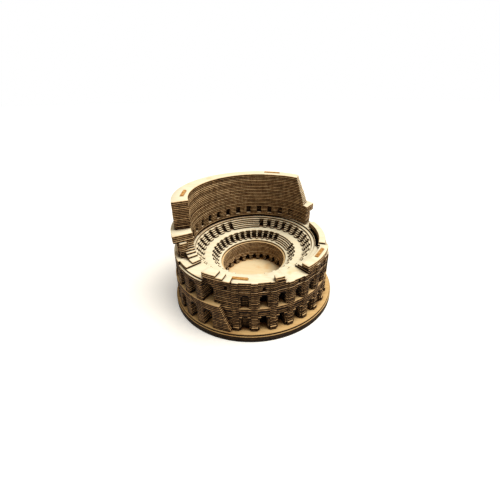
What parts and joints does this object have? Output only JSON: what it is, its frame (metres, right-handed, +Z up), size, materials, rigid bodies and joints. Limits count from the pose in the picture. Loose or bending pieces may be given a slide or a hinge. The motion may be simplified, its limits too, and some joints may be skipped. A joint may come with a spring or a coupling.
{
  "type": "miniature landmark model",
  "caption": "Desk-top model of a ruined oval stone arena, built up from flat laser-cut wooden sheets stacked on an oval base and held in line by wooden keys",
  "frame": {"origin": "Centre of the oval base's underside, on the surface the model stands on", "axes": "+Z up through the stack; Y along the oval's long axis, with the tall wall on the +Y side and the broken front wall on the -Y side; X across the oval"},
  "size_m": [0.138, 0.1515, 0.0893],
  "materials": {
    "sheet_wood": "laser-cut raw sheet, pale faces and burnt brown edges",
    "key_wood": "raw end grain"
  },
  "bodies": {
    "root": {"attic_sheet_44": "sheet_wood", "attic_sheet_45": "sheet_wood", "attic_sheet_46": "sheet_wood", "attic_sheet_47": "sheet_wood", "attic_sheet_48": "sheet_wood", "attic_sheet_49": "sheet_wood", "attic_sheet_50": "sheet_wood", "attic_sheet_51": "sheet_wood", "attic_sheet_52": "sheet_wood", "attic_sheet_53": "sheet_wood", "attic_sheet_54": "sheet_wood", "attic_sheet_55": "sheet_wood", "attic_sheet_56": "sheet_wood", "attic_sheet_57": "sheet_wood", "attic_sheet_58": "sheet_wood", "attic_sheet_59": "sheet_wood", "base_sheet_01": "sheet_wood", "base_sheet_02": "sheet_wood", "base_sheet_03": "sheet_wood", "base_sheet_04": "sheet_wood", "cornice_sheet_40": "sheet_wood", "cornice_sheet_41": "sheet_wood", "cornice_sheet_42": "sheet_wood", "cornice_sheet_43": "sheet_wood", "locating_keys": "key_wood", "storey_one_sheet_05": "sheet_wood", "storey_one_sheet_06": "sheet_wood", "storey_one_sheet_07": "sheet_wood", "storey_one_sheet_08": "sheet_wood", "storey_one_sheet_09": "sheet_wood", "storey_one_sheet_10": "sheet_wood", "storey_one_sheet_11": "sheet_wood", "storey_one_sheet_12": "sheet_wood", "storey_one_sheet_13": "sheet_wood", "storey_one_sheet_14": "sheet_wood", "storey_one_sheet_15": "sheet_wood", "storey_one_sheet_16": "sheet_wood", "storey_one_sheet_17": "sheet_wood", "storey_one_sheet_18": "sheet_wood", "storey_three_sheet_32": "sheet_wood", "storey_three_sheet_33": "sheet_wood", "storey_three_sheet_34": "sheet_wood", "storey_three_sheet_35": "sheet_wood", "storey_three_sheet_36": "sheet_wood", "storey_three_sheet_37": "sheet_wood", "storey_three_sheet_38": "sheet_wood", "storey_three_sheet_39": "sheet_wood", "storey_two_sheet_19": "sheet_wood", "storey_two_sheet_20": "sheet_wood", "storey_two_sheet_21": "sheet_wood", "storey_two_sheet_22": "sheet_wood", "storey_two_sheet_23": "sheet_wood", "storey_two_sheet_24": "sheet_wood", "storey_two_sheet_25": "sheet_wood", "storey_two_sheet_26": "sheet_wood", "storey_two_sheet_27": "sheet_wood", "storey_two_sheet_28": "sheet_wood", "storey_two_sheet_29": "sheet_wood", "storey_two_sheet_30": "sheet_wood", "storey_two_sheet_31": "sheet_wood"}
  },
  "joints": []
}
